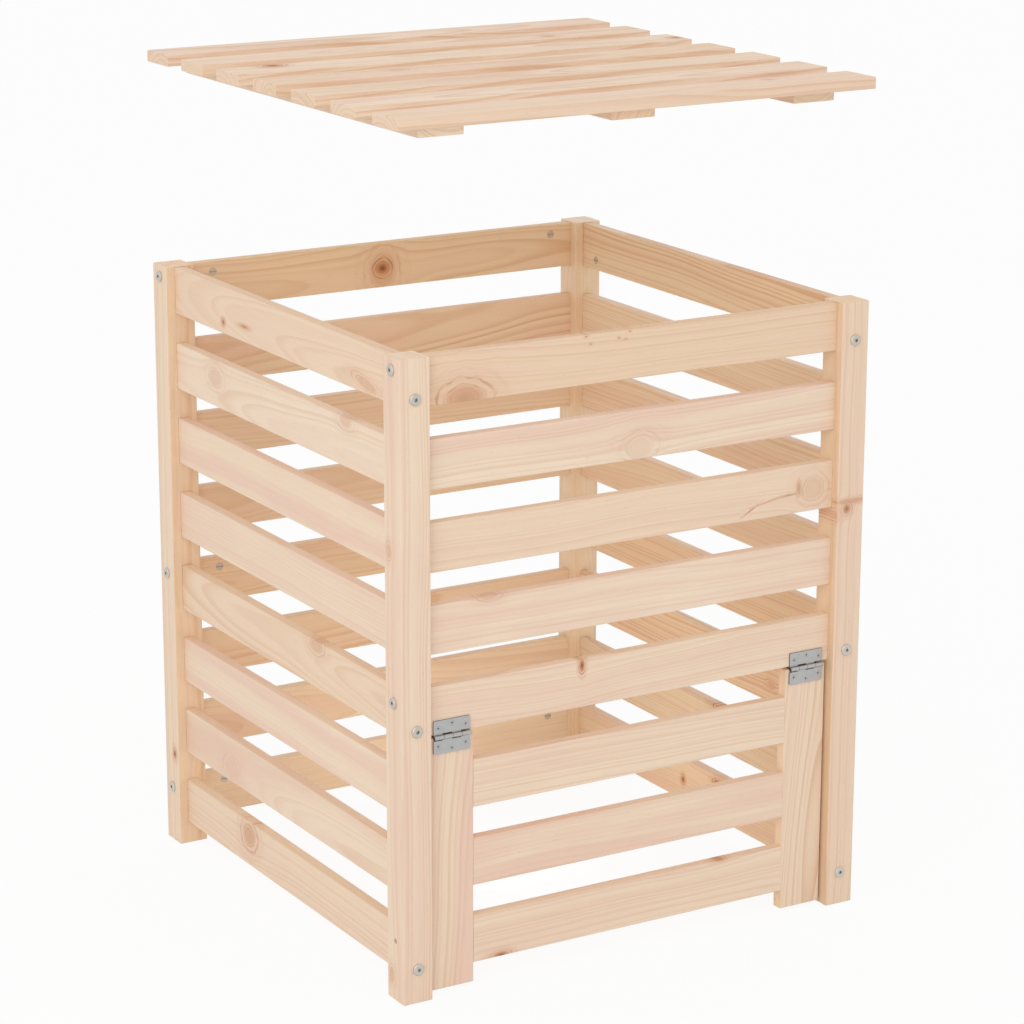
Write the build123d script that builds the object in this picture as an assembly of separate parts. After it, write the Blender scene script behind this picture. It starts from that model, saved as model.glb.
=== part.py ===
from build123d import *
import os

# Slatted pine compost bin: four posts, slatted sides, a door hinged at its top edge and a lift-off lid.
# The origin is on the ground at the middle of the bin, with +X to the right, the door at -Y and +Z up.
# All sizes are in millimetres. Levels of slats are counted from the top.

# Posts
WIDTH = 635.0  # over the outer faces of the posts, along X
DEPTH = 635.0  # over the outer faces of the posts, along Y
POST_HEIGHT = 761.0
POST_SIDE = 38.0

# Boards: one planed section serves for the slats, the door and the lid
BOARD_WIDTH = 58.0
BOARD_THICKNESS = 14.0
EDGE_RADIUS = 1.0  # long edges eased in planing
END_EASE = 0.5  # bevel around the cut ends that show

# Slatted sides
LEVELS = 8  # slats on a full side
TOP_REVEAL = 1.0  # post top above the top slat
GROUND_GAP = 28.6  # ground to the lowest slat
MORTISE_WEB = 3.0  # wood left in a post between the mortises of its two sides
JOINT_PLAY = 0.2  # gap on each face of a slat end or tenon in its mortise

# Bolted corners
BOLT_DIAMETER = 6.0
BOLT_PLAY = 0.25  # gap between a bolt and the wall of its hole
BOLT_OFFSET = 16.0  # from the slat's centre line: up at the front and rear, down at the sides
BOLT_TIP = 3.0  # bolt beyond its nut
HEAD_DIAMETER = 14.0
HEAD_HEIGHT = 2.5
HEAD_BEVEL = 1.0  # bevelled rim of the head
SOCKET_ACROSS = 4.0  # hexagon, across flats
SOCKET_DEPTH = 2.0
NUT_DIAMETER = 10.0
NUT_PLAY = 0.15  # gap between a barrel nut and its hole
NUT_SETBACK = 32.0  # nut centre from the inner face of the post
NUT_COVER = 2.0  # wood left behind the blind hole of the nut
NUT_SLOT_WIDTH = 1.2
NUT_SLOT_DEPTH = 1.0
THREAD_PLAY = 0.05  # gap between a bolt and the hole in its nut

# Door
DOOR_LEVELS = 3  # slats in the door
DOOR_SIDE_GAP = 3.5  # stile to post
DOOR_TOP_GAP = 3.5  # stile top to the slat above
DOOR_FOOT = 5.0  # ground to the stile ends
TENON_LENGTH = 20.0
TENON_THICKNESS = 6.0
TENON_SHOULDER = 6.0  # slat edge to tenon edge

# Butt hinges
HINGE_LENGTH = 48.0
LEAF_REACH = 20.0  # pin axis to the free edge of a leaf
LEAF_THICKNESS = 1.5
LEAF_CORNER = 1.5
KNUCKLES = 4  # of both leaves together
KNUCKLE_GAP = 0.4  # between knuckles
NOTCH_GAP = 1.6  # from a knuckle to the other leaf's notch
PIN_DIAMETER = 2.2
PIN_PLAY = 0.05  # running clearance around the pin
PIN_DROP = 2.9  # pin axis below the slat above the door

# Hinge screws
HINGE_SCREW_DIAMETER = 3.0
HINGE_SCREW_HEAD = 5.6
HINGE_SCREW_END = 6.0  # outer screws from the ends of the leaf
HINGE_SCREW_EDGE = 5.0  # middle screw from the free edge of the leaf
HINGE_SCREW_STAGGER = 4.0  # outer screws nearer the pin than the middle one
SCREW_PLAY = 0.1  # gap between a screw and the wall of its hole
SCREW_RIM = 0.3  # straight rim of a countersunk head
SCREW_COVER = 2.0  # wood left beyond a screw's point
CROSS_WIDTH = 0.8  # arms of the cross recess
CROSS_DEPTH = 0.8

# Lid
LID_SLATS = 7
LID_BATTENS = 3
LID_PLAY = 1.5  # battens to the posts and slats that they drop between
LID_RAISE = 251.0  # lid held above its seat on the post tops
LID_SCREW_DIAMETER = 3.5
LID_SCREW_HEAD = 7.0

# Places worked out from the sizes above
HALF_WIDTH = WIDTH / 2
HALF_DEPTH = DEPTH / 2
INSET = (POST_SIDE - BOARD_THICKNESS) / 2  # post face to slat face, inside and outside
MORTISE_DEPTH = INSET - MORTISE_WEB
SLAT_X = HALF_WIDTH - POST_SIDE / 2  # middle plane of the right slats
SLAT_Y = HALF_DEPTH - POST_SIDE / 2  # middle plane of the rear slats
CLEAR_X = WIDTH - 2 * POST_SIDE  # between posts
CLEAR_Y = DEPTH - 2 * POST_SIDE
TOP_LEVEL_Z = POST_HEIGHT - TOP_REVEAL - BOARD_WIDTH / 2
BOTTOM_LEVEL_Z = GROUND_GAP + BOARD_WIDTH / 2
LEVEL_PITCH = (TOP_LEVEL_Z - BOTTOM_LEVEL_Z) / (LEVELS - 1)
FRONT_LEVELS = LEVELS - DOOR_LEVELS  # fixed slats above the door
BOLTED_LEVELS = (1, FRONT_LEVELS, LEVELS)
BOLT_LENGTH = POST_SIDE + NUT_SETBACK + NUT_DIAMETER / 2 + BOLT_TIP
BOLT_HOLE = BOLT_DIAMETER / 2 + BOLT_PLAY
KNUCKLE_RADIUS = PIN_DIAMETER / 2 + PIN_PLAY + LEAF_THICKNESS
FRONT_FACE_Y = -SLAT_Y - BOARD_THICKNESS / 2
DOOR_HALF_WIDTH = CLEAR_X / 2 - DOOR_SIDE_GAP
STILE_X = DOOR_HALF_WIDTH - BOARD_WIDTH / 2
LINTEL_Z = TOP_LEVEL_Z - (FRONT_LEVELS - 1) * LEVEL_PITCH - BOARD_WIDTH / 2
STILE_TOP_Z = LINTEL_Z - DOOR_TOP_GAP
HINGE_Y = FRONT_FACE_Y - KNUCKLE_RADIUS
HINGE_Z = LINTEL_Z - PIN_DROP
HINGE_SCREW_LENGTH = LEAF_THICKNESS + BOARD_THICKNESS - SCREW_COVER
LID_SEAT_Z = POST_HEIGHT + LID_RAISE  # underside of the lid slats
LID_PITCH = (DEPTH - BOARD_WIDTH) / (LID_SLATS - 1)
BATTEN_LENGTH = CLEAR_Y + 2 * INSET - 2 * LID_PLAY
BATTEN_X = CLEAR_X / 2 - LID_PLAY - BOARD_WIDTH / 2
LID_SCREW_LENGTH = 2 * BOARD_THICKNESS - SCREW_COVER

ALONG_X = Rot(0, 90, 0)  # turns a piece's Z axis to +X
ALONG_Y = Rot(-90, 0, 0)  # turns a piece's Z axis to +Y
OUT_OF_FRONT = Rot(90, 0, 0)  # turns a piece's Z axis to -Y
UPSIDE_DOWN = Rot(180, 0, 0)


def level_z(level):
    """Height of the centre line of a slat."""
    return TOP_LEVEL_Z - (level - 1) * LEVEL_PITCH


def board(plane, across, up, length):
    """Board about the origin, lengthwise along the plane's normal, its long edges eased."""
    section = plane * RectangleRounded(across, up, EDGE_RADIUS)
    return extrude(section, length / 2, both=True)


def ease_ends(piece, axis):
    """Piece with a fine bevel around its two cut ends, which lie along the axis."""
    ends = piece.faces().sort_by(axis)
    return chamfer(ends[0].edges() + ends[-1].edges(), END_EASE)


# Corner posts


def make_post(side_x, side_y):
    """Post with the mortises and bolt holes of its two sides; side_x and side_y are -1 or 1."""
    post = extrude(RectangleRounded(POST_SIDE, POST_SIDE, EDGE_RADIUS), POST_HEIGHT)
    post = ease_ends(post, Axis.Z)
    seat_thickness = BOARD_THICKNESS + 2 * JOINT_PLAY
    seat_height = BOARD_WIDTH + 2 * JOINT_PLAY
    seat_middle = (POST_SIDE - MORTISE_DEPTH) / 2
    levels_across = FRONT_LEVELS if side_y < 0 else LEVELS
    for level in range(1, LEVELS + 1):
        seat = Box(seat_thickness, MORTISE_DEPTH, seat_height)
        post -= Pos(0, -side_y * seat_middle, level_z(level)) * seat
    for level in range(1, levels_across + 1):
        seat = Box(MORTISE_DEPTH, seat_thickness, seat_height)
        post -= Pos(-side_x * seat_middle, 0, level_z(level)) * seat
    drill = Cylinder(BOLT_HOLE, POST_SIDE)
    for level in BOLTED_LEVELS:
        post -= Pos(0, 0, level_z(level) + BOLT_OFFSET) * ALONG_X * drill
        post -= Pos(0, 0, level_z(level) - BOLT_OFFSET) * ALONG_Y * drill
    return Pos(side_x * SLAT_X, side_y * SLAT_Y, 0) * post


# Slatted sides, each made as a front along X with its inner face at +Y, then turned to its place


def make_slat(clear, bolt_z=None):
    """Slat between posts a clear width apart; a bolted one is drilled bolt_z off its centre line."""
    slat = board(Plane.YZ, BOARD_THICKNESS, BOARD_WIDTH, clear + 2 * (MORTISE_DEPTH - JOINT_PLAY))
    if bolt_z is None:
        return slat
    nut_x = clear / 2 - NUT_SETBACK
    nut_seat = Cylinder(NUT_DIAMETER / 2 + NUT_PLAY, BOARD_THICKNESS - NUT_COVER)
    bore_start = nut_x - NUT_DIAMETER / 2 - BOLT_TIP - BOLT_PLAY
    bore = Cylinder(BOLT_HOLE, clear / 2 + MORTISE_DEPTH - bore_start)
    bore_middle = (clear / 2 + MORTISE_DEPTH + bore_start) / 2
    for end in (-1, 1):
        slat -= Pos(end * bore_middle, 0, bolt_z) * ALONG_X * bore
        slat -= Pos(end * nut_x, NUT_COVER / 2, bolt_z) * ALONG_Y * nut_seat
    return slat


def make_bolt():
    """Socket bolt along -Z, the underside of its head at the origin."""
    head = extrude(Circle(HEAD_DIAMETER / 2), HEAD_HEIGHT)
    head = chamfer(head.edges().sort_by(Axis.Z)[-1], HEAD_BEVEL)
    shank = extrude(Circle(BOLT_DIAMETER / 2), -BOLT_LENGTH)
    hexagon = RegularPolygon(SOCKET_ACROSS / 2, 6, major_radius=False)
    socket = Pos(0, 0, HEAD_HEIGHT) * extrude(hexagon, -SOCKET_DEPTH)
    return head + shank - socket


def make_nut():
    """Barrel nut along -Z, its slotted end at the origin, drilled for a bolt along X."""
    barrel = extrude(Circle(NUT_DIAMETER / 2), -(BOARD_THICKNESS - NUT_COVER - 2 * NUT_PLAY))
    thread = Cylinder(BOLT_DIAMETER / 2 + THREAD_PLAY, NUT_DIAMETER)
    slot = Box(NUT_DIAMETER, NUT_SLOT_WIDTH, 2 * NUT_SLOT_DEPTH)
    return barrel - Pos(0, 0, NUT_PLAY - BOARD_THICKNESS / 2) * ALONG_X * thread - slot


def make_side(clear, middle_y, bolt_z, levels):
    """Slats of one side from the top down, with the bolts and nuts at their ends."""
    slats = []
    bolts = []
    nuts = []
    for level in range(1, levels + 1):
        centre = Pos(0, -middle_y, level_z(level))
        if level not in BOLTED_LEVELS:
            slats.append(centre * make_slat(clear))
            continue
        slats.append(centre * make_slat(clear, bolt_z))
        for end in (-1, 1):
            at_post = Pos(end * (clear / 2 + POST_SIDE), 0, bolt_z)
            bolts.append(centre * at_post * Rot(0, 90 * end, 0) * make_bolt())
            at_nut = Pos(end * (clear / 2 - NUT_SETBACK), BOARD_THICKNESS / 2 - NUT_PLAY, bolt_z)
            nuts.append(centre * at_nut * ALONG_Y * make_nut())
    return slats, bolts, nuts


# Countersunk screws


def screw_form(diameter, head, length, play=0.0):
    """Countersunk screw along -Z from the top of its head; with play it is the cutter for its hole."""
    head_radius = head / 2 + play
    shank_radius = diameter / 2 + play
    cone_end = SCREW_RIM + (head - diameter) / 2
    outline = Polyline(
        (0, 0, 0),
        (head_radius, 0, 0),
        (head_radius, 0, -SCREW_RIM),
        (shank_radius, 0, -cone_end),
        (shank_radius, 0, diameter - length),
        (0, 0, -length - play),
        close=True,
    )
    return revolve(make_face(outline), Axis.Z)


def make_screw(diameter, head, length):
    """Countersunk screw with a cross recess as wide as its shank."""
    arm = Box(diameter, CROSS_WIDTH, 2 * CROSS_DEPTH)
    return screw_form(diameter, head, length) - arm - Rot(0, 0, 90) * arm


# Butt hinges, laid open with the pin along X at the origin and the backs of the leaves at +Y


def leaf_screw_places():
    """Places of a leaf's three screws, the middle one further from the pin."""
    far = LEAF_REACH - HINGE_SCREW_EDGE
    end = HINGE_LENGTH / 2 - HINGE_SCREW_END
    face_y = KNUCKLE_RADIUS - LEAF_THICKNESS
    rows = ((-end, far - HINGE_SCREW_STAGGER), (0, far), (end, far - HINGE_SCREW_STAGGER))
    return [Pos(x, face_y, z) * OUT_OF_FRONT for x, z in rows]


def make_leaf():
    """Upper leaf: a notched plate rolled into every other knuckle, starting at the left."""
    pitch = HINGE_LENGTH / KNUCKLES
    plate = Pos(0, LEAF_REACH / 2) * Rectangle(HINGE_LENGTH, LEAF_REACH)
    plate = fillet(plate.vertices().group_by(Axis.Y)[-1], LEAF_CORNER)
    notch_height = KNUCKLE_RADIUS + NOTCH_GAP
    ring = Circle(KNUCKLE_RADIUS) - Circle(PIN_DIAMETER / 2 + PIN_PLAY)
    knuckles = []
    for place in range(KNUCKLES):
        middle = (place + 0.5) * pitch - HINGE_LENGTH / 2
        if place % 2:
            plate -= Pos(middle, notch_height / 2) * Rectangle(pitch + KNUCKLE_GAP, notch_height)
        else:
            knuckle = extrude(Plane.YZ * ring, (pitch - KNUCKLE_GAP) / 2, both=True)
            knuckles.append(Pos(middle, 0, 0) * knuckle)
    leaf = Pos(0, KNUCKLE_RADIUS, 0) * extrude(Plane.XZ * plate, LEAF_THICKNESS)
    for knuckle in knuckles:
        leaf += knuckle
    for place in leaf_screw_places():
        leaf -= place * hinge_screw_cutter()
    return leaf


def hinge_screw_cutter():
    """Hole for a hinge screw in leaf and wood."""
    return screw_form(HINGE_SCREW_DIAMETER, HINGE_SCREW_HEAD, HINGE_SCREW_LENGTH, SCREW_PLAY)


def hinge_screw():
    """Screw of a hinge leaf."""
    return make_screw(HINGE_SCREW_DIAMETER, HINGE_SCREW_HEAD, HINGE_SCREW_LENGTH)


# Door


def make_stile(side):
    """Stile with mortises for the door slats in its inner edge; side is -1 or 1."""
    height = STILE_TOP_Z - DOOR_FOOT
    centre = Pos(side * STILE_X, -SLAT_Y, DOOR_FOOT + height / 2)
    stile = centre * ease_ends(board(Plane.XY, BOARD_WIDTH, BOARD_THICKNESS, height), Axis.Z)
    depth = TENON_LENGTH + JOINT_PLAY
    seat_height = BOARD_WIDTH - 2 * TENON_SHOULDER + 2 * JOINT_PLAY
    seat = Box(depth, TENON_THICKNESS + 2 * JOINT_PLAY, seat_height)
    seat_x = STILE_X - BOARD_WIDTH / 2 + depth / 2
    for level in range(FRONT_LEVELS + 1, LEVELS + 1):
        stile -= Pos(side * seat_x, -SLAT_Y, level_z(level)) * seat
    return stile


def make_door_slat(level):
    """Slat between the stiles, with a tenon at each end."""
    length = 2 * STILE_X - BOARD_WIDTH
    slat = board(Plane.YZ, BOARD_THICKNESS, BOARD_WIDTH, length)
    slat += Box(length + 2 * TENON_LENGTH, TENON_THICKNESS, BOARD_WIDTH - 2 * TENON_SHOULDER)
    return Pos(0, -SLAT_Y, level_z(level)) * slat


# Lid


def crossing_y(slat_y):
    """Middle of the stretch of a batten that a lid slat covers."""
    low = max(slat_y - BOARD_WIDTH / 2, -BATTEN_LENGTH / 2)
    high = min(slat_y + BOARD_WIDTH / 2, BATTEN_LENGTH / 2)
    return (low + high) / 2


def make_lid():
    """Lid slats from the front, battens from the left, and the screws driven up at each crossing."""
    slat = ease_ends(board(Plane.YZ, BOARD_WIDTH, BOARD_THICKNESS, WIDTH), Axis.X)
    batten = ease_ends(board(Plane.XZ, BOARD_WIDTH, BOARD_THICKNESS, BATTEN_LENGTH), Axis.Y)
    slat_ys = [(row - (LID_SLATS - 1) / 2) * LID_PITCH for row in range(LID_SLATS)]
    spread = 2 * BATTEN_X / (LID_BATTENS - 1)
    batten_xs = [row * spread - BATTEN_X for row in range(LID_BATTENS)]
    slats = [Pos(0, y, LID_SEAT_Z + BOARD_THICKNESS / 2) * slat for y in slat_ys]
    battens = [Pos(x, 0, LID_SEAT_Z - BOARD_THICKNESS / 2) * batten for x in batten_xs]
    screw = make_screw(LID_SCREW_DIAMETER, LID_SCREW_HEAD, LID_SCREW_LENGTH)
    cutter = screw_form(LID_SCREW_DIAMETER, LID_SCREW_HEAD, LID_SCREW_LENGTH, SCREW_PLAY)
    screws = []
    for row, y in enumerate(slat_ys):
        for column, x in enumerate(batten_xs):
            place = Pos(x, crossing_y(y), LID_SEAT_Z - BOARD_THICKNESS) * UPSIDE_DOWN
            slats[row] -= place * cutter
            battens[column] -= place * cutter
            screws.append(place * screw)
    return slats, battens, screws


# The whole bin, one entry for each node

nodes = {}
for name_y, side_y in (("front", -1), ("rear", 1)):
    for name_x, side_x in (("left", -1), ("right", 1)):
        nodes[f"post_{name_y}_{name_x}"] = make_post(side_x, side_y)

frame_bolts = []
frame_nuts = []
SIDES = (
    ("front", 0, CLEAR_X, SLAT_Y, BOLT_OFFSET, FRONT_LEVELS),
    ("right", 90, CLEAR_Y, SLAT_X, -BOLT_OFFSET, LEVELS),
    ("rear", 180, CLEAR_X, SLAT_Y, BOLT_OFFSET, LEVELS),
    ("left", -90, CLEAR_Y, SLAT_X, -BOLT_OFFSET, LEVELS),
)
for side, angle, clear, middle_y, bolt_z, levels in SIDES:
    turn = Rot(0, 0, angle)
    slats, bolts, nuts = make_side(clear, middle_y, bolt_z, levels)
    for level, slat in enumerate(slats, 1):
        nodes[f"{side}_slat_{level}"] = turn * slat
    frame_bolts += [turn * bolt for bolt in bolts]
    frame_nuts += [turn * nut for nut in nuts]
nodes["frame_bolts"] = Compound(frame_bolts)
nodes["frame_barrel_nuts"] = Compound(frame_nuts)

lintel = f"front_slat_{FRONT_LEVELS}"
leaf = make_leaf()
pin = ALONG_X * Cylinder(PIN_DIAMETER / 2, HINGE_LENGTH)
frame_screws = []
door_screws = []
for side, sign in (("left", -1), ("right", 1)):
    stile = make_stile(sign)
    upper = Pos(sign * STILE_X, HINGE_Y, HINGE_Z)
    lower = upper * Rot(0, 180, 0)
    for place in leaf_screw_places():
        nodes[lintel] -= upper * place * hinge_screw_cutter()
        stile -= lower * place * hinge_screw_cutter()
        frame_screws.append(upper * place * hinge_screw())
        door_screws.append(lower * place * hinge_screw())
    nodes[f"door_stile_{side}"] = stile
    nodes[f"hinge_{side}_upper_leaf"] = upper * leaf
    nodes[f"hinge_{side}_lower_leaf"] = lower * leaf
    nodes[f"hinge_{side}_pin"] = upper * pin
nodes["hinge_screws_upper"] = Compound(frame_screws)
nodes["hinge_screws_lower"] = Compound(door_screws)
for row in range(1, DOOR_LEVELS + 1):
    nodes[f"door_slat_{row}"] = make_door_slat(FRONT_LEVELS + row)

lid_slats, lid_battens, lid_screws = make_lid()
for row, slat in enumerate(lid_slats, 1):
    nodes[f"lid_slat_{row}"] = slat
for row, batten in enumerate(lid_battens, 1):
    nodes[f"lid_batten_{row}"] = batten
nodes["lid_screws"] = Compound(lid_screws)

os.makedirs("parts", exist_ok=True)
for name, shape in nodes.items():
    export_step(shape, f"parts/{name}.step")
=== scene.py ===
import math
import random

import bpy
from mathutils import Matrix, Vector


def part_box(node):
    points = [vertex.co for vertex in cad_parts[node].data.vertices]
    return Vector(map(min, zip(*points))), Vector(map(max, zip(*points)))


# Slatted pine compost bin: raw planed pine boards, zinc-plated bolts, nuts and screws, galvanised hinges.
# Lengths in the scene are metres. Sizes inside the patterns are millimetres.

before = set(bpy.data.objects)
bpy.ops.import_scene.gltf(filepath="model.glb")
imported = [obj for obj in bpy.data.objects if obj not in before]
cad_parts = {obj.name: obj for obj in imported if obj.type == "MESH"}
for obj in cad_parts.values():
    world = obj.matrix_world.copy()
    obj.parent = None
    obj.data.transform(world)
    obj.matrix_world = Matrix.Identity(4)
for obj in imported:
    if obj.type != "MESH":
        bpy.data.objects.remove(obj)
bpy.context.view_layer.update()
MM = 0.001

# Camera at the photograph's viewing angle
IMAGE_SIDE = 1024.0  # pixels
FOCAL_LENGTH = 3340.7  # pixels
SENSOR_WIDTH = 36.0  # mm
CAMERA_AZIMUTH = -30.825  # degrees, from straight in front of the door
CAMERA_ELEVATION = 15.503  # degrees
CAMERA_ROLL = 0.12  # degrees
CAMERA_DISTANCE = 4.1449
CAMERA_TARGET = Vector((0.0152, 0.0, 0.4675))
VIEW_REACH = 200.0  # past the far corners of the floor

# Studio
FLOOR_SIDE = 120.0
FLOOR_COLOUR = "#F0F0F0"
FLOOR_DROP = 0.0004  # floor below the feet, so that the faces don't coincide
FLOOR_SHADOW = 0.08  # share of the lit floor in what the camera sees; the rest is plain white
AMBIENT = 0.84  # light from the white surround
KEY_POWER = 58.0
KEY_SIDE = 3.0
KEY_PLACE = Vector((-3.3, -3.1, 2.9))
FILL_POWER = 0.85  # soft light among the boards
FILL_RADIUS = 0.12
FILL_PLACE = Vector((0.0, 0.0, 0.11))

# Settings of nodes and sockets
EASED = {"interpolation_type": "SMOOTHSTEP"}
NUMBER = "NodeSocketFloat"
VECTOR = "NodeSocketVector"
COLOUR = "NodeSocketColor"
WHITE = (1.0, 1.0, 1.0, 1.0)


def linear(hex_colour):
    """sRGB hex value as linear RGBA."""
    channels = [int(hex_colour[start:start + 2], 16) / 255 for start in (1, 3, 5)]
    return (*[c / 12.92 if c <= 0.04045 else ((c + 0.055) / 1.055) ** 2.4 for c in channels], 1.0)


def add(tree, kind, inputs=None, **settings):
    """Adds a node with its settings and returns its outputs.

    inputs gives values to set, or outputs to link, by socket name or number.
    """
    made = tree.nodes.new(kind if kind.startswith("NodeGroup") else "ShaderNode" + kind)
    for key, value in settings.items():
        setattr(made, key, value)
    for key, value in (inputs or {}).items():
        if isinstance(value, bpy.types.NodeSocket):
            tree.links.new(value, made.inputs[key])
        else:
            made.inputs[key].default_value = value
    return made.outputs


def new_group(name, inputs, outputs):
    """Empty node group with the named sockets; each is a name and its kind."""
    tree = bpy.data.node_groups.new(name, "ShaderNodeTree")
    for socket, kind in inputs:
        tree.interface.new_socket(name=socket, in_out="INPUT", socket_type=kind)
    for socket, kind in outputs:
        tree.interface.new_socket(name=socket, in_out="OUTPUT", socket_type=kind)
    return tree


def new_material(name):
    """Empty material and its node tree."""
    material = bpy.data.materials.new(name)
    material.use_nodes = True
    material.node_tree.nodes.clear()
    return material, material.node_tree


# Planed pine, untreated. Pale earlywood and warmer latewood lie in rings about the pith, so a face shows
# straight lines or arches as the saw met them, and a cut end shows arcs. Branches leave reddish knots,
# which the lines flow around. The planed face is matt and barely ridged.

EARLYWOOD = "#F0DAC2"
HONEY = "#E4BF97"  # whole boards lean to it
LATEWOOD = "#D3A478"
PINKISH = "#EBCBB6"
KNOT_HEART = "#7A4424"
KNOT_WOOD = "#C98A5C"
KNOT_RIM = "#A8652F"
KNOT_BLUSH = "#D9A07F"
RESIN = "#C0956A"
# Painted shade, near black, in the gaps behind the hinge knuckles
HINGE_GAP_PAINTED_SHADE = "#241A15"
# The battens' cut ends are painted paler: painted light on ends that lie in the shade of the lid slats
CUT_END = {"post": "#F4E0CA", "lid": "#E9CFB4", "batten": "#FDEAD0", "slat": "#EAD2B8"}
PAINTED_SHADE_TINTS = {  # painted shade: darker, warmer tint of faces turned to other boards, for light bounced between them
    "post": (0.97, 0.935, 0.84),
    "lid": (0.985, 0.96, 0.945),
    "batten": (0.985, 0.96, 0.945),
    "slat": (0.98, 0.96, 0.885),
}
PAINTED_SHADE_UNDER_LID = (0.95, 0.91, 0.785)  # the same painted shade, stronger, on the highest boards of the rear and the right

RING_DRIFT = (320.0, 110.0, 110.0)  # mm over which the stem wanders
RING_WANDER = 11.0  # mm that it wanders
RING_UNEVEN = 13.0  # mm between wide and narrow years
RING_SHIFT = 1.6  # years by which wide and narrow ones move the rings
FAINTEST_YEAR = 0.25  # share of the latewood in the palest ring
LATEWOOD_RISE = 1.6  # power by which a year darkens late rather than evenly
BAND = 21.0  # mm, paler and pinker growth years together
FIBRE = (55.0, 1.1, 1.1)  # mm, length and width of streaks; coarser than real fibre, so that they show
FIBRE_SHADE = 0.03  # lighter and darker than the wood
DUCT = (9.0, 0.9, 0.9)  # mm, resin ducts
TINT = (230.0, 42.0, 42.0)  # mm, pinkish and yellowish patches
CUT_CONTRAST = 0.55  # of the rings on a cut end
EARLY_ROUGHNESS = 0.62
LATE_ROUGHNESS = 0.5  # the denser latewood planes smoother
FIBRE_RIDGE = 0.35  # height of fibre beside that of the latewood
RIDGE_STRENGTH = 0.35
RIDGE_HEIGHT = 0.15  # mm
KNOT_LUMP = 16.667  # mm over which a knot's outline swells and shrinks
KNOT_SPREAD = 1.5  # from one ring around a knot to the next
KNOT_MARKS = ("Knot", "Blush", "Rim", "Heart", "Plug")  # shares that a knot leaves on the board
HINGE_SHADE_HALF_WIDTH = 7.4  # mm, half sizes of the painted shade behind the hinge knuckles
HINGE_SHADE_HALF_DEPTH = 12.5
HINGE_SHADE_HALF_HEIGHT = 5.0
HINGE_SHADE_COVER = 0.95  # share of the wood's colour that the painted shade hides


def pine_knot_group():
    """Bends a board's grain around one knot and marks the knot, its heart and rings and the blush around it.

    Place is the knot's middle on the board, Lean is its slant to the grain and Tone goes from pale to dark.
    """
    shape = (("Place", VECTOR), ("Radius", NUMBER), ("Stretch", NUMBER), ("Lean", NUMBER), ("Tone", NUMBER))
    running = (("Board", VECTOR), *((mark, NUMBER) for mark in KNOT_MARKS))
    tree = new_group("pine_knot", running + shape, running)
    given = add(tree, "NodeGroupInput")

    # Distance from the middle of the knot, in radii of the knot
    at = add(tree, "VectorMath", {0: given["Board"], 1: given["Place"]}, operation="SUBTRACT")[0]
    part = add(tree, "SeparateXYZ", {0: at})
    slant = add(tree, "Math", {0: part[0], 1: given["Lean"]}, operation="MULTIPLY")[0]
    side = add(tree, "Math", {0: part[1], 1: slant}, operation="SUBTRACT")[0]
    along = add(tree, "Math", {0: part[0], 1: given["Stretch"]}, operation="DIVIDE")[0]
    flat = add(tree, "CombineXYZ", {0: along, 1: side})[0]
    distance = add(tree, "VectorMath", {0: flat}, operation="LENGTH")[1]
    uneven = add(tree, "TexNoise", {"Vector": given["Board"], "Scale": 1 / KNOT_LUMP, "Detail": 1.0})[0]
    swell = add(tree, "MapRange", {0: uneven, 1: 0.25, 2: 0.75, 3: 0.9, 4: 1.12})[0]
    distance = add(tree, "Math", {0: distance, 1: swell}, operation="MULTIPLY")[0]
    share = add(tree, "Math", {0: distance, 1: given["Radius"]}, operation="DIVIDE")[0]

    # The grain parts and closes around the knot
    outside = add(tree, "Math", {0: share, 1: 1.0}, operation="MAXIMUM")[0]
    turned = add(tree, "Math", {0: outside, 1: -2.0}, operation="POWER")[0]
    pull = add(tree, "Math", {0: side, 1: turned}, operation="MULTIPLY")[0]
    pushed = add(tree, "CombineXYZ", {1: pull})[0]
    board = add(tree, "VectorMath", {0: given["Board"], 1: pushed}, operation="SUBTRACT")[0]

    # Rings in and around the knot, broken here and there
    ring = add(tree, "Math", {0: share, 1: KNOT_SPREAD}, operation="LOGARITHM")[0]
    ring = add(tree, "Math", {0: ring, 1: 0.5}, operation="PINGPONG")[0]
    ring = add(tree, "MapRange", {0: ring, 1: 0.03, 2: 0.24, 3: 1.0, 4: 0.0}, **EASED)[0]
    inner = add(tree, "MapRange", {0: share, 1: 0.2, 2: 1.0, 3: 0.3, 4: 1.0}, **EASED)[0]
    outer = add(tree, "MapRange", {0: share, 1: 1.05, 2: 2.6, 3: 1.0, 4: 0.0}, **EASED)[0]
    broken = add(tree, "MapRange", {0: uneven, 1: 0.4, 2: 0.58, 3: 0.3, 4: 1.0}, **EASED)[0]
    for fade in (inner, outer, broken):
        ring = add(tree, "Math", {0: ring, 1: fade}, operation="MULTIPLY")[0]

    # Pale knots have no heart
    dark = add(tree, "MapRange", {0: given["Tone"], 1: 0.4, 2: 0.9, 3: 0.0, 4: 1.0}, **EASED)[0]
    heart = add(tree, "MapRange", {0: share, 1: 0.15, 2: 0.75, 3: 1.0, 4: 0.0}, **EASED)[0]
    heart = add(tree, "Math", {0: heart, 1: dark}, operation="MULTIPLY")[0]
    knot = add(tree, "MapRange", {0: share, 1: 0.75, 2: 1.05, 3: 1.0, 4: 0.0}, **EASED)[0]
    blush = add(tree, "MapRange", {0: share, 1: 0.9, 2: 3.0, 3: 1.0, 4: 0.0}, **EASED)[0]
    toned = [
        add(tree, "Math", {0: amount, 1: given["Tone"]}, operation="MULTIPLY")[0]
        for amount in (knot, blush, ring, heart)
    ]
    made = {"Board": board}
    for mark, amount in zip(KNOT_MARKS, (*toned, knot)):
        made[mark] = add(tree, "Math", {0: given[mark], 1: amount}, operation="MAXIMUM")[0]
    add(tree, "NodeGroupOutput", made)
    return tree


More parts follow.
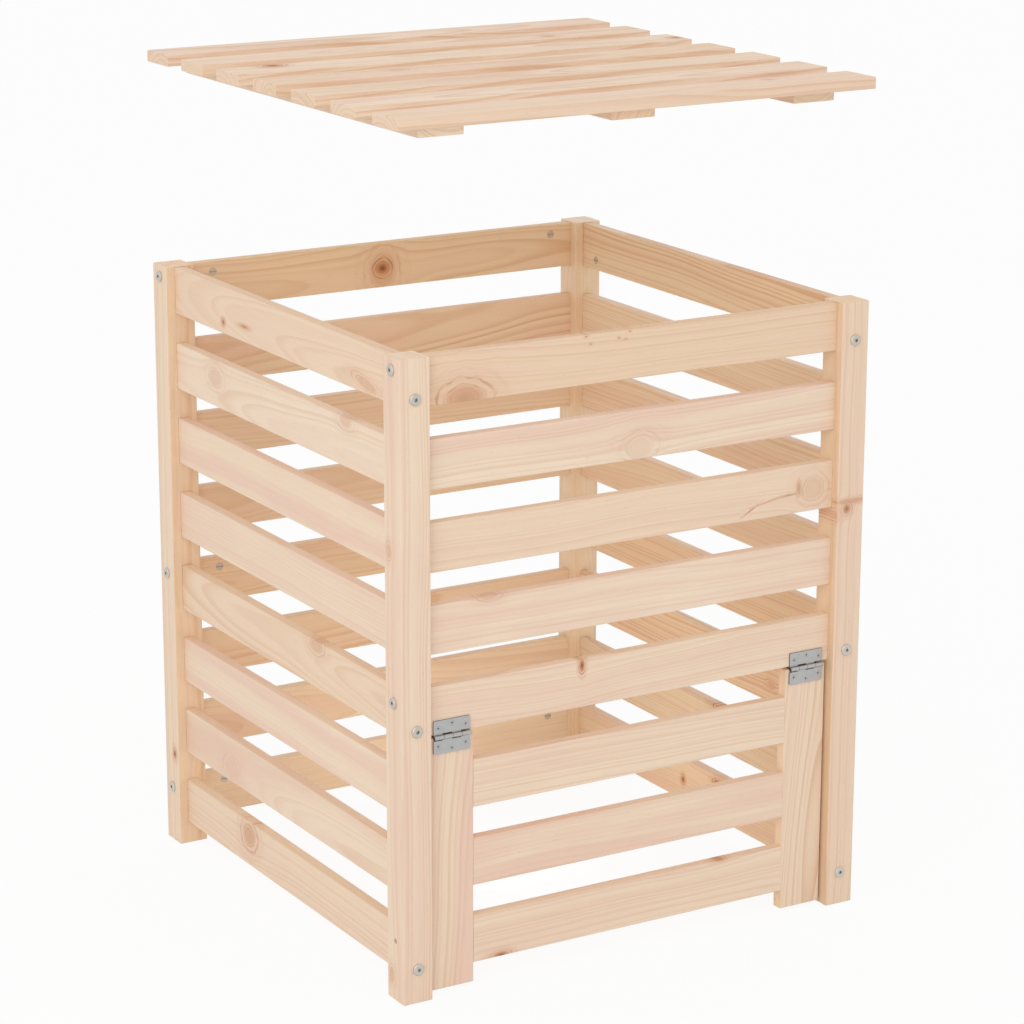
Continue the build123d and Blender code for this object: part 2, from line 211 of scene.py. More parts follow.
def pine_ring_group():
    """Colour, roughness and ridge height of planed pine at a point of a board."""
    kinds = {
        VECTOR: ("Board", "Plain", "Pith", "Slope"),
        COLOUR: ("End", "PaintedShadeTint"),
        NUMBER: ("Ring", "Seed", "Contrast", "Pink", "Honey", "Cut", "PaintedShadeShare", *KNOT_MARKS),
    }
    sockets = [(name, kind) for kind, names in kinds.items() for name in names]
    results = (("Color", COLOUR), ("Roughness", NUMBER), ("Height", NUMBER))
    tree = new_group("pine_rings", sockets, results)
    given = add(tree, "NodeGroupInput")
    seed = add(tree, "CombineXYZ", {0: given["Seed"], 1: given["Seed"], 2: given["Seed"]})[0]
    streaks = {}
    for name, sizes, start in (
        ("drift", RING_DRIFT, "Board"),
        ("fibre", FIBRE, "Board"),
        ("duct", DUCT, "Board"),
        ("tint", TINT, "Plain"),
    ):
        fine = add(tree, "VectorMath", {0: given[start], 1: sizes}, operation="DIVIDE")[0]
        streaks[name] = add(tree, "VectorMath", {0: fine, 1: seed}, operation="ADD")[0]

    # Distance from the pith, which leans and wanders along the board
    wander = (0.0, 2 * RING_WANDER, 2 * RING_WANDER)
    drift = add(tree, "TexNoise", {"Vector": streaks["drift"], "Scale": 1.0, "Detail": 1.0})[1]
    drift = add(tree, "VectorMath", {0: drift, 1: (0.5, 0.5, 0.5)}, operation="SUBTRACT")[0]
    drift = add(tree, "VectorMath", {0: drift, 1: wander}, operation="MULTIPLY")[0]
    part = add(tree, "SeparateXYZ", {0: given["Board"]})
    lean = add(tree, "VectorMath", {0: given["Slope"], 3: part[0]}, operation="SCALE")[0]
    across = add(tree, "CombineXYZ", {1: part[1], 2: part[2]})[0]
    across = add(tree, "VectorMath", {0: across, 1: given["Pith"]}, operation="SUBTRACT")[0]
    across = add(tree, "VectorMath", {0: across, 1: lean}, operation="SUBTRACT")[0]
    across = add(tree, "VectorMath", {0: across, 1: drift}, operation="ADD")[0]
    radius = add(tree, "VectorMath", {0: across}, operation="LENGTH")[1]

    # Growth rings: each year darkens slowly to its latewood and stops short
    bands = {}
    for name, size in (("uneven", RING_UNEVEN), ("band", BAND)):
        step = add(tree, "Math", {0: radius, 1: 1 / size, 2: given["Seed"]}, operation="MULTIPLY_ADD")[0]
        line = {"W": step, "Scale": 1.0, "Detail": 0.0}
        bands[name] = add(tree, "TexNoise", line, noise_dimensions="1D")[0]
    years = add(tree, "Math", {0: radius, 1: given["Ring"]}, operation="DIVIDE")[0]
    years = add(tree, "Math", {0: bands["uneven"], 1: RING_SHIFT, 2: years}, operation="MULTIPLY_ADD")[0]
    season = add(tree, "Math", {0: years}, operation="FRACT")[0]
    year = add(tree, "Math", {0: years}, operation="FLOOR")[0]
    year = add(tree, "Math", {0: year, 1: given["Seed"]}, operation="ADD")[0]
    depth = add(tree, "TexWhiteNoise", {"W": year}, noise_dimensions="1D")[0]
    depth = add(tree, "MapRange", {0: depth, 3: FAINTEST_YEAR, 4: 1.0})[0]
    rise = add(tree, "MapRange", {0: season, 1: 0.15, 2: 0.9, 3: 0.0, 4: 1.0}, **EASED)[0]
    rise = add(tree, "Math", {0: rise, 1: LATEWOOD_RISE}, operation="POWER")[0]
    stop = add(tree, "MapRange", {0: season, 1: 0.9, 2: 1.0, 3: 1.0, 4: 0.0}, **EASED)[0]
    late = add(tree, "Math", {0: rise, 1: stop}, operation="MULTIPLY")[0]
    late = add(tree, "Math", {0: late, 1: depth}, operation="MULTIPLY")[0]

    # Fine streaks and broad patches
    fibre = add(tree, "TexNoise", {"Vector": streaks["fibre"], "Scale": 1.0, "Detail": 3.0})[0]
    duct = add(tree, "TexNoise", {"Vector": streaks["duct"], "Scale": 1.0, "Detail": 1.0})[0]
    duct = add(tree, "MapRange", {0: duct, 1: 0.68, 2: 0.82, 3: 0.0, 4: 1.0}, **EASED)[0]
    patch = add(tree, "TexNoise", {"Vector": streaks["tint"], "Scale": 1.0, "Detail": 2.0})[0]
    patch = add(tree, "Math", {0: patch, 1: bands["band"]}, operation="ADD")[0]
    patch = add(tree, "MapRange", {0: patch, 1: 0.75, 2: 1.3, 3: 0.0, 4: 1.0}, **EASED)[0]
    tint = add(tree, "Math", {0: patch, 1: given["Pink"]}, operation="MULTIPLY")[0]
    shades = {1: 0.3, 2: 0.7, 3: 1 - FIBRE_SHADE, 4: 1 + FIBRE_SHADE}
    shade = add(tree, "MapRange", {0: fibre, **shades})[0]

    # Latewood lines stop at a knot
    beside = add(tree, "Math", {0: 1.0, 1: given["Plug"]}, operation="SUBTRACT")[0]
    strong = add(tree, "MapRange", {0: given["Cut"], 3: given["Contrast"], 4: CUT_CONTRAST})[0]
    late_share = add(tree, "Math", {0: late, 1: strong}, operation="MULTIPLY")[0]
    late_share = add(tree, "Math", {0: late_share, 1: beside}, operation="MULTIPLY")[0]

    # Each colour lies over those before it: where it is, how far it covers and its paint
    ground = {0: given["Honey"], 6: linear(EARLYWOOD), 7: linear(HONEY)}
    colour = add(tree, "Mix", ground, data_type="RGBA")[2]
    for amount, cover, paint in (
        (tint, 1.0, linear(PINKISH)),
        (given["Cut"], 0.8, given["End"]),
        (late_share, 0.85, linear(LATEWOOD)),
        (duct, 0.35, linear(RESIN)),
        (given["Blush"], 0.5, linear(KNOT_BLUSH)),
        (given["Knot"], 0.85, linear(KNOT_WOOD)),
        (given["Heart"], 0.85, linear(KNOT_HEART)),
        (given["Rim"], 0.95, linear(KNOT_RIM)),
    ):
        covered = add(tree, "Math", {0: amount, 1: cover}, operation="MULTIPLY")[0]
        colour = add(tree, "Mix", {0: covered, 6: colour, 7: paint}, data_type="RGBA")[2]
    colour = add(tree, "VectorMath", {0: colour, 3: shade}, operation="SCALE")[0]
    # Painted shade: faces turned to other boards take a darker, warmer tint
    warm = add(tree, "Mix", {0: given["PaintedShadeShare"], 6: WHITE, 7: given["PaintedShadeTint"]}, data_type="RGBA")[2]
    colour = add(tree, "VectorMath", {0: colour, 1: warm}, operation="MULTIPLY")[0]

    rough = add(tree, "MapRange", {0: late, 3: EARLY_ROUGHNESS, 4: LATE_ROUGHNESS})[0]
    height = add(tree, "Math", {0: fibre, 1: FIBRE_RIDGE, 2: late}, operation="MULTIPLY_ADD")[0]
    add(tree, "NodeGroupOutput", {"Color": colour, "Roughness": rough, "Height": height})
    return tree


PINE_KNOT = pine_knot_group()
PINE_RINGS = pine_ring_group()


def planed_pine(name, centre, order, grain, open_sides):
    """Material of one board; order lists the axes of its length, width and thickness.

    Faces that turn to other boards, not to the open sides, get painted shade: a darker tint, warmer than the
    open faces, that stands for light that has gone from board to board.
    """
    material, tree = new_material(f"planed_pine_{name}")
    place = add(tree, "TexCoord")
    moved = add(tree, "VectorMath", {0: place["Object"], 1: centre}, operation="SUBTRACT")[0]
    moved = add(tree, "VectorMath", {0: moved, 3: 1 / MM}, operation="SCALE")[0]
    part = add(tree, "SeparateXYZ", {0: moved})
    plain = add(tree, "CombineXYZ", {row: part[axis] for row, axis in enumerate(order)})[0]

    # Cut ends, and faces that turn to other boards, which get painted shade
    facing = add(tree, "SeparateXYZ", {0: place["Normal"]})[order[0]]
    facing = add(tree, "Math", {0: facing}, operation="ABSOLUTE")[0]
    cut = add(tree, "MapRange", {0: facing, 1: 0.6, 2: 0.95, 3: 0.0, 4: 1.0}, **EASED)[0]
    open_faces = add(tree, "VectorMath", {0: place["Normal"], 1: open_sides}, operation="MULTIPLY")[0]
    open_faces = add(tree, "SeparateXYZ", {0: open_faces})
    most = cut
    for axis in range(3):
        most = add(tree, "Math", {0: most, 1: open_faces[axis]}, operation="MAXIMUM")[0]
    painted_shade_share = add(tree, "MapRange", {0: most, 1: 0.3, 2: 0.75, 3: 1.0, 4: 0.0}, **EASED)[0]

    # Knots one after another, then the rings
    state = {"Board": plain, **{mark: 0.0 for mark in KNOT_MARKS}}
    for along, across, radius, stretch, lean, tone in grain["knots"]:
        knot = {
            "Place": (along, across, 0.0), "Radius": radius, "Stretch": stretch, "Lean": lean, "Tone": tone,
        }
        made = add(tree, "Group", state | knot, node_tree=PINE_KNOT)
        state = {mark: made[mark] for mark in state}
    board = {
        "Plain": plain, "Pith": (0.0, *grain["pith"]), "Slope": (0.0, *grain["slope"]), "Ring": grain["ring"],
        "Seed": grain["seed"], "Contrast": grain["contrast"], "Pink": grain["pink"], "Honey": grain["honey"],
        "Cut": cut, "End": linear(grain["end"]), "PaintedShadeShare": painted_shade_share, "PaintedShadeTint": (*grain["warm"], 1.0),
    }
    wood = add(tree, "Group", state | board, node_tree=PINE_RINGS)

    # Painted shade behind the hinges, near black
    colour = wood["Color"]
    for spot, half_width in grain["hinge_painted_shades"]:
        half = (half_width * MM, HINGE_SHADE_HALF_DEPTH * MM, HINGE_SHADE_HALF_HEIGHT * MM)
        off = add(tree, "VectorMath", {0: place["Object"], 1: spot}, operation="SUBTRACT")[0]
        off = add(tree, "VectorMath", {0: off, 1: half}, operation="DIVIDE")[0]
        off = add(tree, "VectorMath", {0: off}, operation="ABSOLUTE")[0]
        off = add(tree, "SeparateXYZ", {0: off})
        flat = add(tree, "Math", {0: off[0], 1: off[1]}, operation="MAXIMUM")[0]
        most = add(tree, "Math", {0: flat, 1: off[2]}, operation="MAXIMUM")[0]
        dark = add(tree, "MapRange", {0: most, 1: 0.9, 2: 1.0, 3: HINGE_SHADE_COVER, 4: 0.0}, **EASED)[0]
        colour = add(tree, "Mix", {0: dark, 6: colour, 7: linear(HINGE_GAP_PAINTED_SHADE)}, data_type="RGBA")[2]

    relief = {"Height": wood["Height"], "Strength": RIDGE_STRENGTH, "Distance": RIDGE_HEIGHT * MM}
    ridges = add(tree, "Bump", relief)[0]
    look = {"Base Color": colour, "Roughness": wood["Roughness"], "Normal": ridges}
    surface = add(tree, "BsdfPrincipled", look)[0]
    add(tree, "OutputMaterial", {"Surface": surface})
    return material


# Knots of each board: along and across from its middle, radius, stretch along the grain, lean and tone.
# A thin crack or a band across is a knot drawn out. Lengths are millimetres.

KNOTS = {
    "front_slat_1": [
        (-229, -26, 16, 1.6, 0.0, 0.58), (-70, 26, 1.2, 1.6, 0.0, 0.6), (-64, 17, 1.0, 1.6, 0.0, 0.6),
        (-26, 20, 1.2, 1.6, 0.0, 0.5), (-17, 18, 1.0, 2.0, 0.0, 0.5), (-11, 26, 1.0, 1.6, 0.0, 0.6),
    ],
    "front_slat_2": [(4, -15, 14, 1.3, 0.0, 0.16)],
    "front_slat_3": [
        (161, -17, 0.9, 9, 0.54, 0.7), (188, -9, 0.8, 24, 0.18, 0.5), (217, -5.4, 0.9, 12, 0.05, 0.65),
        (231, 1, 7, 0.4, 0.0, 0.55), (252, -2, 15, 1.1, 0.0, 0.2),
    ],
    "front_slat_4": [(-196, 31, 6, 2.0, 0.0, 0.32)],
    "front_slat_5": [(-72, 22, 7.5, 0.45, 0.0, 1.0)],
    "door_slat_3": [(-181, -28, 4.5, 2.2, 0.0, 0.85), (128, 29.6, 1.6, 5, 0.0, 0.65)],
    "left_slat_1": [
        (145, -15, 4, 1.0, 0.0, 0.85), (88, -10, 2.2, 5, 0.0, 0.7), (-218, -18, 6, 4, 0.17, 0.4),
    ],
    "left_slat_2": [(171, 7, 13, 1.4, 0.0, 0.24), (-167, 26, 9, 1.6, 0.0, 0.3)],
    "left_slat_5": [(-87, 24, 9, 1.8, 0.0, 0.35)],
    "left_slat_7": [(147, -12, 14, 1.3, 0.0, 0.14)],
    "left_slat_8": [(102, 10, 15, 1.1, 0.0, 0.52)],
    "post_front_left": [(158, 9, 5, 1.6, 0.0, 0.4), (-352, 9, 6, 1.6, 0.0, 0.4)],
    "post_front_right": [
        (128, -5, 5.5, 1.1, 0.0, 0.75), (137, 2, 20, 0.16, 0.0, 0.5), (122, -22, 7, 1.0, 0.0, 0.45),
    ],
    "post_rear_left": [(-260, -8, 4, 1.6, 0.0, 0.9)],
    "rear_slat_1": [(-6, -4, 9, 1.1, 0.0, 1.0), (-6, -8, 20, 0.9, 0.0, 0.3)],
    "lid_slat_1": [(196, 14, 4, 1.4, 0.0, 0.4)],
    "lid_slat_4": [(-136, 11, 7, 1.5, 0.0, 0.35)],
    "lid_slat_5": [(-248, 19, 9, 1.4, 0.0, 1.0), (309, -5, 7, 1.3, 0.0, 0.8)],
    "lid_slat_6": [(176, -10, 7, 1.4, 0.0, 0.55)],
    "right_slat_6": [(-172, -5, 5, 1.3, 0.0, 0.4)],
    "right_slat_7": [(-68, 26.5, 4, 4, 0.0, 1.0)],
    "right_slat_8": [(21, 0, 5, 0.75, 0.0, 0.95), (-60, 20, 4, 2.4, 0.0, 1.0)],
}

# What the boards that show most have of their own. Pith is the place of the stem's middle, across the board
# and in its depth, slope is how that place moves along the board, and ring is the width of a year. The rest
# are shares, colours and tints, and what isn't given here is drawn by lot in board_grain.

GRAIN = {
    "front_slat_1": {"pith": (-85, -25), "ring": 6.5, "contrast": 0.45, "honey": 0.45},
    "front_slat_2": {"pith": (95, 12), "slope": (0.03, 0.0), "ring": 7.7, "contrast": 0.45, "honey": 0.0},
    "front_slat_3": {"pith": (-70, 20), "ring": 7.0, "contrast": 0.3, "honey": 0.22},
    "front_slat_4": {"pith": (60, -35), "ring": 6.5, "contrast": 0.3, "pink": 1.0},
    "front_slat_5": {"pith": (-95, 15), "slope": (0.01, 0.0), "ring": 4.8, "contrast": 0.4, "honey": 0.1},
    "door_slat_1": {"pith": (85, 10), "slope": (-0.04, 0.0), "ring": 6.5, "contrast": 0.43, "pink": 0.5},
    "door_slat_2": {"pith": (-75, 30), "ring": 6.5, "contrast": 0.25, "pink": 1.0},
    "door_slat_3": {"pith": (60, 25), "ring": 6.5, "contrast": 0.42},
    "door_stile_left": {
        "pith": (40, 22), "slope": (0.03, 0.03), "ring": 6.5, "contrast": 0.42, "honey": 0.12,
    },
    "door_stile_right": {
        "pith": (24, 14), "slope": (0.08, 0.0), "ring": 6.0, "contrast": 0.6, "honey": 0.12,
    },
    "left_slat_1": {"pith": (-8, 30), "slope": (0.05, 0.09), "ring": 6.5, "contrast": 0.36, "honey": 0.3},
    "left_slat_2": {"pith": (-14, 40), "slope": (0.02, 0.04), "ring": 6.0, "contrast": 0.45},
    "left_slat_3": {"pith": (70, 30), "ring": 8.0, "contrast": 0.16, "pink": 1.0},
    "left_slat_4": {"pith": (-90, 10), "slope": (0.02, 0.0), "ring": 5.0, "contrast": 0.3},
    "left_slat_5": {"pith": (12, 34), "slope": (0.02, 0.05), "ring": 6.5, "contrast": 0.5, "honey": 0.3},
    "left_slat_6": {"pith": (65, -30), "ring": 7.5, "contrast": 0.18, "pink": 0.8},
    "left_slat_7": {"pith": (-16, 38), "slope": (0.03, 0.05), "ring": 6.0, "contrast": 0.35, "pink": 1.0},
    "left_slat_8": {"pith": (60, 26), "ring": 6.5, "contrast": 0.4},
    "post_front_left": {
        "pith": (-25, -62), "slope": (0.01, 0.0), "ring": 7.0, "contrast": 0.42, "honey": 0.1,
    },
    "post_front_right": {
        "pith": (70, 25), "slope": (0.0, 0.01), "ring": 7.5, "contrast": 0.4, "honey": 0.24, "end": "#F2D5B2",
    },
    "post_rear_right": {"pith": (60, 45), "ring": 8.0, "contrast": 0.3, "pink": 0.0, "honey": 0.0},
    "post_rear_left": {"pith": (55, -40), "ring": 7.0, "contrast": 0.45, "end": "#F2D2B0"},
    # warm gives a board a tint of painted shade of its own
    "rear_slat_1": {"warm": PAINTED_SHADE_UNDER_LID},
    "rear_slat_2": {"pith": (20, 45), "slope": (0.02, 0.03), "ring": 6.0, "contrast": 0.8},
    "rear_slat_4": {"contrast": 0.5, "honey": 0.0},
    "rear_slat_5": {"honey": 0.25},
    "rear_slat_6": {"honey": 0.2},
    "rear_slat_7": {"contrast": 0.45, "honey": 0.0},
    "rear_slat_8": {"contrast": 0.25, "honey": 0.0, "pink": 0.3},
    "right_slat_1": {
        "pith": (95, -10), "slope": (0.03, 0.0), "ring": 7.0, "contrast": 0.75, "warm": PAINTED_SHADE_UNDER_LID,
    },
    "right_slat_2": {"contrast": 0.55, "honey": 0.0},
    "right_slat_3": {"contrast": 0.5, "honey": 0.0},
    "right_slat_4": {"contrast": 0.33, "honey": 0.0},
    "right_slat_5": {"honey": 0.3},
    "right_slat_7": {"honey": 0.1, "warm": (0.92, 0.94, 0.87)},
    "right_slat_8": {"contrast": 0.4},
    "lid_slat_1": {"honey": 0.22},
    "lid_slat_2": {"pith": (-12, -34), "slope": (0.02, 0.05), "ring": 7.0},
    "lid_slat_3": {"pith": (8, -42), "slope": (-0.015, 0.03), "ring": 8.0, "honey": 0.16},
    "lid_slat_4": {"pith": (-6, -30), "slope": (0.03, -0.06), "ring": 7.0, "honey": 0.42},
    "lid_slat_5": {"pith": (14, -36), "slope": (-0.03, 0.05), "ring": 7.0, "pink": 0.2},
    "lid_slat_6": {"pink": 0.3, "honey": 0.2},
    "lid_slat_7": {"pith": (-10, -45), "slope": (0.02, -0.04), "ring": 8.0},
    # Painted light: paler cut ends on battens in the shade of the lid slats
    "lid_batten_2": {"end": "#FADABB"},
    "lid_batten_3": {"end": "#F3D9BA"},
}
RING_CONTRAST = {"rear": (0.55, 0.85), "right": (0.55, 0.85), "lid": (0.55, 0.8)}  # limits of the draw
OTHER_CONTRAST = (0.35, 0.6)  # on the other boards
HEART_BOARDS = 0.4  # share of boards sawn near the pith, with arches on their faces
KNUCKLES_THAT_TURN = (3 / 8, 7 / 8)  # places along a hinge pin
HINGED_BOARDS = ("front_slat_5", "door_stile_left", "door_stile_right")
HINGE_PINS = ("hinge_left_pin", "hinge_right_pin")
EDGE_OPEN = 0.6  # how far a slat's upper edge counts as an open face, free of painted shade
SIDE_FACE_POSTS = ("post_front_left", "post_rear_left")  # their knots show on the left face


def board_axes(name):
    """Axes of a board's length, width and thickness."""
    low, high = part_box(name)
    size = high - low
    order = sorted(range(3), key=lambda axis: -round(size[axis], 4))
    if name in SIDE_FACE_POSTS:
        order = [order[0], 1, 0]
    return order


def outward(name):
    """Directions in which a board's open faces turn.

    The upper edge of a slat counts in part, and at the rear not at all. The other faces get painted shade.
    """
    if name.startswith("lid"):
        return (0, 0, 1)
    signs = {"left": (-1, 0), "right": (1, 0), "front": (0, -1), "rear": (0, 1), "door": (0, -1)}
    if name.startswith("post"):
        _, depth, width = name.split("_")
        return (signs[width][0], signs[depth][1], 1)
    side = name.split("_")[0]
    return (*signs[side], 0 if side == "rear" else EDGE_OPEN)


def hinge_painted_shades(name):
    """Middles and half widths of the painted shade on a board behind the hinges.

    The slat above the door has a patch of it behind each knuckle that turns with the door. A stile has
    painted shade behind its whole hinge.
    """
    marks = []
    for pin in HINGE_PINS:
        low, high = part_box(pin)
        middle = (low + high) / 2
        length = high.x - low.x
        if name.startswith("front"):
            for share in KNUCKLES_THAT_TURN:
                marks.append((Vector((low.x + share * length, middle.y, middle.z)), HINGE_SHADE_HALF_WIDTH))
        elif name.split("_")[-1] in pin:
            marks.append((middle, length / 2 / MM))
    return marks


def board_grain(name):
    """How the saw met the rings in one board: drawn for the board's own name, so that no two are alike."""
    draw = random.Random(name)
    side = draw.choice((-1, 1))
    # The pith lies under the face or well off to one side, in millimetres
    if draw.random() < HEART_BOARDS:
        pith = (draw.uniform(-18, 18), side * draw.uniform(18, 55))
        slope = (draw.uniform(-0.02, 0.02), draw.uniform(-0.06, 0.06))
    else:
        pith = (side * draw.uniform(45, 110), draw.uniform(-40, 40))
        slope = (draw.uniform(-0.03, 0.03), draw.uniform(-0.03, 0.03))
    kind = "batten" if "batten" in name else name.split("_")[0]
    drawn = {
        "pith": pith,
        "slope": slope,
        "ring": draw.uniform(4.8, 7.5),
        "seed": draw.uniform(0, 90),
        "contrast": draw.uniform(*RING_CONTRAST.get(kind, OTHER_CONTRAST)),
        "pink": draw.uniform(0.2, 1.0),
        "honey": draw.uniform(0.0, 0.2),
        "warm": PAINTED_SHADE_TINTS.get(kind, PAINTED_SHADE_TINTS["slat"]),
        "end": CUT_END.get(kind, CUT_END["slat"]),
        "knots": KNOTS.get(name, []),
        "hinge_painted_shades": hinge_painted_shades(name) if name in HINGED_BOARDS else [],
    }
    return drawn | GRAIN.get(name, {})


# Zinc on steel: a dull pale coat in soft patches, gone along sheared edges, with painted shade down in
# recesses.

ZINC_CLOUD = 9.0  # mm, broad patches of the coat
ZINC_UNEVEN = 0.06  # of its roughness
RECESS_REACH = 3.0  # mm, how near a wall has to be for painted shade in recesses
BARE_EDGE = "#6E655C"
PIN_RIM = 6.0 * MM  # the rolled knuckles reach less far than this from the pin


def zinc_steel(name, colour, roughness, spangle, recess_light, bare_share=None):
    """Zinc-coated steel: soft patches where the zinc set, and painted shade down in recesses.

    The colour and roughness are those of the coat, spangle is the size of its patches in millimetres and
    recess_light is the share of light that the painted shade leaves in recesses. Where bare_share, a function
    of the node tree, gives 1, the zinc is gone.
    """
    material, tree = new_material(name)
    place = add(tree, "TexCoord")["Object"]
    cells = add(tree, "TexVoronoi", {"Vector": place, "Scale": 1 / (spangle * MM)})[1]
    cells = add(tree, "SeparateXYZ", {0: cells})[0]
    cloud = add(tree, "TexNoise", {"Vector": place, "Scale": 1 / (ZINC_CLOUD * MM), "Detail": 4.0})[0]
    patch = add(tree, "Math", {0: cells, 1: 0.5, 2: cloud}, operation="MULTIPLY_ADD")[0]
    shade = add(tree, "MapRange", {0: patch, 1: 0.3, 2: 1.0, 3: 0.92, 4: 1.05})[0]
    # Painted shade, darker where walls of the same part are near
    near = {"Distance": RECESS_REACH * MM}
    painted_recess_shade = add(tree, "AmbientOcclusion", near, samples=8, only_local=True)[1]
    painted_recess_shade = add(tree, "MapRange", {0: painted_recess_shade, 1: 0.3, 2: 0.85, 3: recess_light, 4: 1.0}, **EASED)[0]
    shade = add(tree, "Math", {0: shade, 1: painted_recess_shade}, operation="MULTIPLY")[0]
    paint = linear(colour)[:3]
    if bare_share:
        coats = {0: bare_share(tree), 6: linear(colour), 7: linear(BARE_EDGE)}
        paint = add(tree, "Mix", coats, data_type="RGBA")[2]
    paint = add(tree, "VectorMath", {0: paint, 3: shade}, operation="SCALE")[0]
    sheen = {1: 0.3, 2: 1.0, 3: roughness - ZINC_UNEVEN, 4: roughness + ZINC_UNEVEN}
    rough = add(tree, "MapRange", {0: patch, **sheen})[0]
    look = {"Base Color": paint, "Roughness": rough, "Metallic": 1.0}
    surface = add(tree, "BsdfPrincipled", look)[0]
    add(tree, "OutputMaterial", {"Surface": surface})
    return material


def zinc_plated_bolts():
    """Turned heads with a dull zinc plate: flat pale grey, with painted shade only down in the sockets."""
    return zinc_steel("zinc_plated_steel_bolts", "#CEC9C1", roughness=0.55, spangle=2.5, recess_light=0.6)


def zinc_plated_nuts():
    """Sawn-off bar with a yellowed zinc plate: a warm mid grey that sits quietly in the wood."""
    return zinc_steel("zinc_plated_steel_nuts", "#CDC3B6", roughness=0.55, spangle=2.5, recess_light=0.85)


def zinc_plated_screws():
    """Small pressed heads with a zinc plate: grey dots with painted shade in their recesses."""
    return zinc_steel("zinc_plated_steel_screws", "#B9B9BC", roughness=0.42, spangle=1.5, recess_light=0.3)


def sheared_edge(tree):
    """1 on the sheared edges of a hinge's sheet, away from its rolled knuckles; else 0."""
    low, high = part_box("hinge_left_pin")
    place = add(tree, "TexCoord")
    at = add(tree, "SeparateXYZ", {0: place["Object"]})
    turn = add(tree, "SeparateXYZ", {0: place["Normal"]})
    off_pin = add(tree, "Math", {0: at[2], 1: (low.z + high.z) / 2}, operation="SUBTRACT")[0]
    off_pin = add(tree, "Math", {0: off_pin}, operation="ABSOLUTE")[0]
    flat_part = add(tree, "Math", {0: off_pin, 1: PIN_RIM}, operation="GREATER_THAN")[0]
    ends = add(tree, "Math", {0: turn[2]}, operation="ABSOLUTE")[0]
    ends = add(tree, "Math", {0: ends, 1: flat_part}, operation="MULTIPLY")[0]
    sides = add(tree, "Math", {0: turn[0]}, operation="ABSOLUTE")[0]
    edge = add(tree, "Math", {0: ends, 1: sides}, operation="MAXIMUM")[0]
    return add(tree, "MapRange", {0: edge, 1: 0.3, 2: 0.7, 3: 0.0, 4: 1.0}, **EASED)[0]


def galvanised_hinges():
    """Stamped galvanised sheet: pale neutral grey with faint patches, brownish on its bare sheared edges."""
    return zinc_steel(
        "galvanised_sheet_steel_hinges", "#BBBBBA",
        roughness=0.48, spangle=5.0, recess_light=0.3, bare_share=sheared_edge,
    )


def dress():
    """Gives every node its finish: metal by the start of its name, else pine with the board's own grain."""
    # The first start that fits counts, so hinge_screws stands before hinge
    metals = {
        "frame_bolts": zinc_plated_bolts(),
        "frame_barrel_nuts": zinc_plated_nuts(),
        "hinge_screws": zinc_plated_screws(),
        "hinge": galvanised_hinges(),
    }
    metals["lid_screws"] = metals["hinge_screws"]
    for name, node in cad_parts.items():
        metal = [finish for start, finish in metals.items() if name.startswith(start)]
        if metal:
            finish = metal[0]
        else:
            low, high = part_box(name)
            finish = planed_pine(name, (low + high) / 2, board_axes(name), board_grain(name), outward(name))
        node.data.materials.clear()
        node.data.materials.append(finish)


def seen_share(tree):
    """1 for rays that show the background: to the camera, mirrored in metal or through glass; else 0."""
    ray = add(tree, "LightPath")
    seen = add(tree, "Math", {0: ray["Is Camera Ray"], 1: ray["Is Glossy Ray"]}, operation="MAXIMUM")[0]
    return add(tree, "Math", {0: seen, 1: ray["Is Transmission Ray"]}, operation="MAXIMUM")[0]


def surround():
    """White all round to the eye, with a softer light on the object."""
    world = bpy.data.worlds.new("white_surround")
    bpy.context.scene.world = world
    world.use_nodes = True
    tree = world.node_tree
    tree.nodes.clear()
    light = add(tree, "Background", {"Color": WHITE, "Strength": AMBIENT})[0]
    white = add(tree, "Background", {"Color": WHITE, "Strength": 1.0})[0]
    both = add(tree, "MixShader", {0: seen_share(tree), 1: light, 2: white})[0]
    add(tree, "OutputWorld", {"Surface": both})


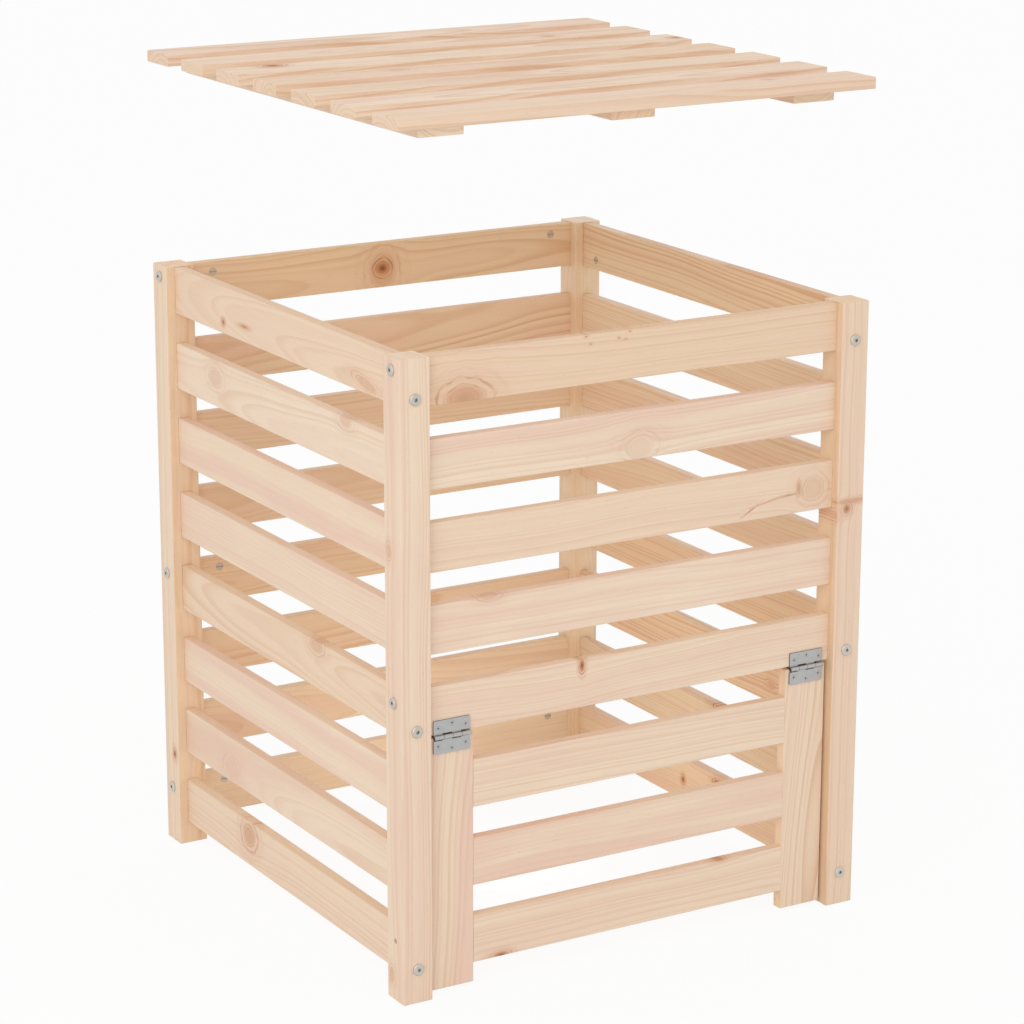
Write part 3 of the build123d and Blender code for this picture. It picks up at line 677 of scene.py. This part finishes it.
def white_painted_floor():
    """Matt white paint on a flat floor: plain white to the eye, with a trace of the object's shadow."""
    material, tree = new_material("white_painted_floor")
    lit = add(tree, "BsdfDiffuse", {"Color": linear(FLOOR_COLOUR)})[0]
    glow = add(tree, "Emission", {"Color": WHITE, "Strength": 1.0})[0]
    share = add(tree, "Math", {0: seen_share(tree), 1: 1 - FLOOR_SHADOW}, operation="MULTIPLY")[0]
    both = add(tree, "MixShader", {0: share, 1: lit, 2: glow})[0]
    add(tree, "OutputMaterial", {"Surface": both})
    return material


def lamp(name, kind, power, place):
    """Adds a lamp and returns its object."""
    light = bpy.data.lights.new(name, kind)
    light.energy = power
    made = bpy.data.objects.new(name, light)
    made.location = place
    bpy.context.scene.collection.objects.link(made)
    return made


def studio():
    """Pale floor, white surround and soft light."""
    surround()
    bpy.ops.mesh.primitive_plane_add(size=FLOOR_SIDE, location=(0, 0, -FLOOR_DROP))
    floor = bpy.context.object
    floor.name = "floor"
    floor.data.materials.append(white_painted_floor())

    key = lamp("key", "AREA", KEY_POWER, KEY_PLACE)
    key.data.size = KEY_SIDE
    key.rotation_euler = (CAMERA_TARGET - KEY_PLACE).to_track_quat("-Z", "Y").to_euler()

    fill = lamp("fill", "POINT", FILL_POWER, FILL_PLACE)
    fill.data.shadow_soft_size = FILL_RADIUS
    fill.visible_camera = False
    fill.visible_glossy = False


def camera():
    """Camera at the photograph's viewing angle."""
    lens = bpy.data.cameras.new("camera")
    lens.sensor_width = SENSOR_WIDTH
    lens.lens = FOCAL_LENGTH / IMAGE_SIDE * SENSOR_WIDTH
    lens.clip_end = VIEW_REACH
    eye = bpy.data.objects.new("camera", lens)
    turn = math.radians(CAMERA_AZIMUTH)
    rise = math.radians(CAMERA_ELEVATION)
    back = Vector((math.sin(turn) * math.cos(rise), -math.cos(turn) * math.cos(rise), math.sin(rise)))
    level = (-back).to_track_quat("-Z", "Y").to_matrix().to_4x4()
    roll = Matrix.Rotation(math.radians(CAMERA_ROLL), 4, "Z")
    eye.matrix_world = Matrix.Translation(CAMERA_TARGET + back * CAMERA_DISTANCE) @ level @ roll
    bpy.context.scene.collection.objects.link(eye)
    bpy.context.scene.camera = eye


dress()
studio()
camera()
bpy.context.scene.view_settings.view_transform = "Standard"
